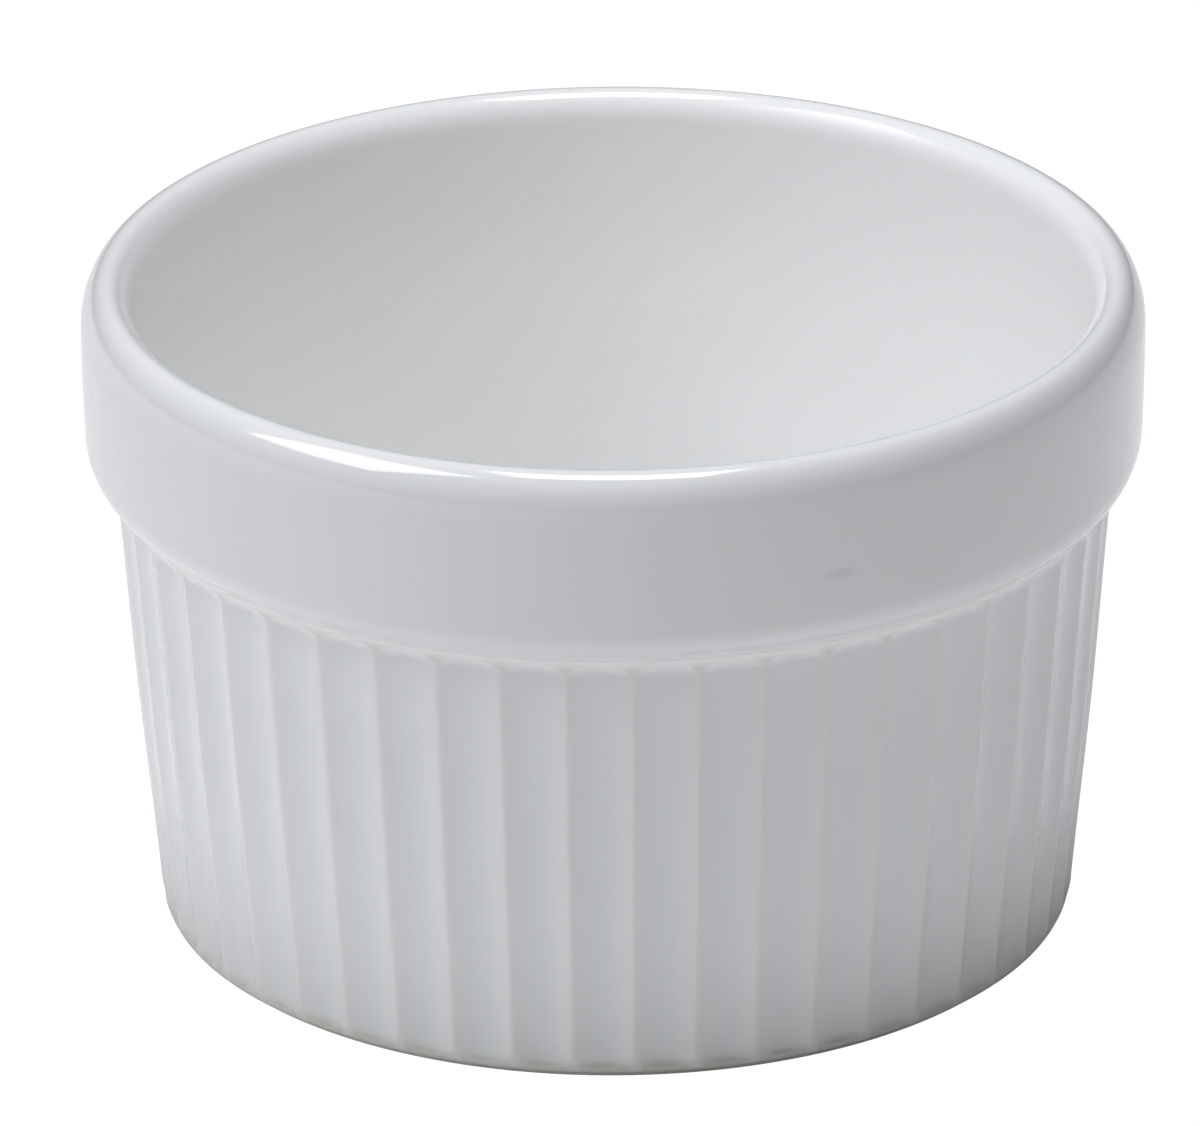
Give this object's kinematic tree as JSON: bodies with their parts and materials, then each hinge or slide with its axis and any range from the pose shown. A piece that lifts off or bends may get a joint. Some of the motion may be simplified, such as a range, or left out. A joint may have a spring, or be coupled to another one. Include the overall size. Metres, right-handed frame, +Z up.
{
  "type": "ramekin",
  "caption": "Round fluted porcelain ramekin with a plain thick rim collar, a straight flared wall and a low foot ring.",
  "frame": {"origin": "centre of the foot ring, in the plane that the dish stands on", "axes": "+Z up along the dish's axis, from the foot ring to the open rim; the dish is round, so X and Y are alike, and a flute faces +X"},
  "size_m": [0.09, 0.09, 0.057],
  "materials": {
    "bare_porcelain": "unglazed fired porcelain, fine and matt",
    "white_glaze": "clear gloss glaze over white porcelain"
  },
  "bodies": {
    "root": {"porcelain_body": "bare_porcelain", "glaze_coat": "white_glaze", "base_glaze": "white_glaze"}
  },
  "joints": []
}
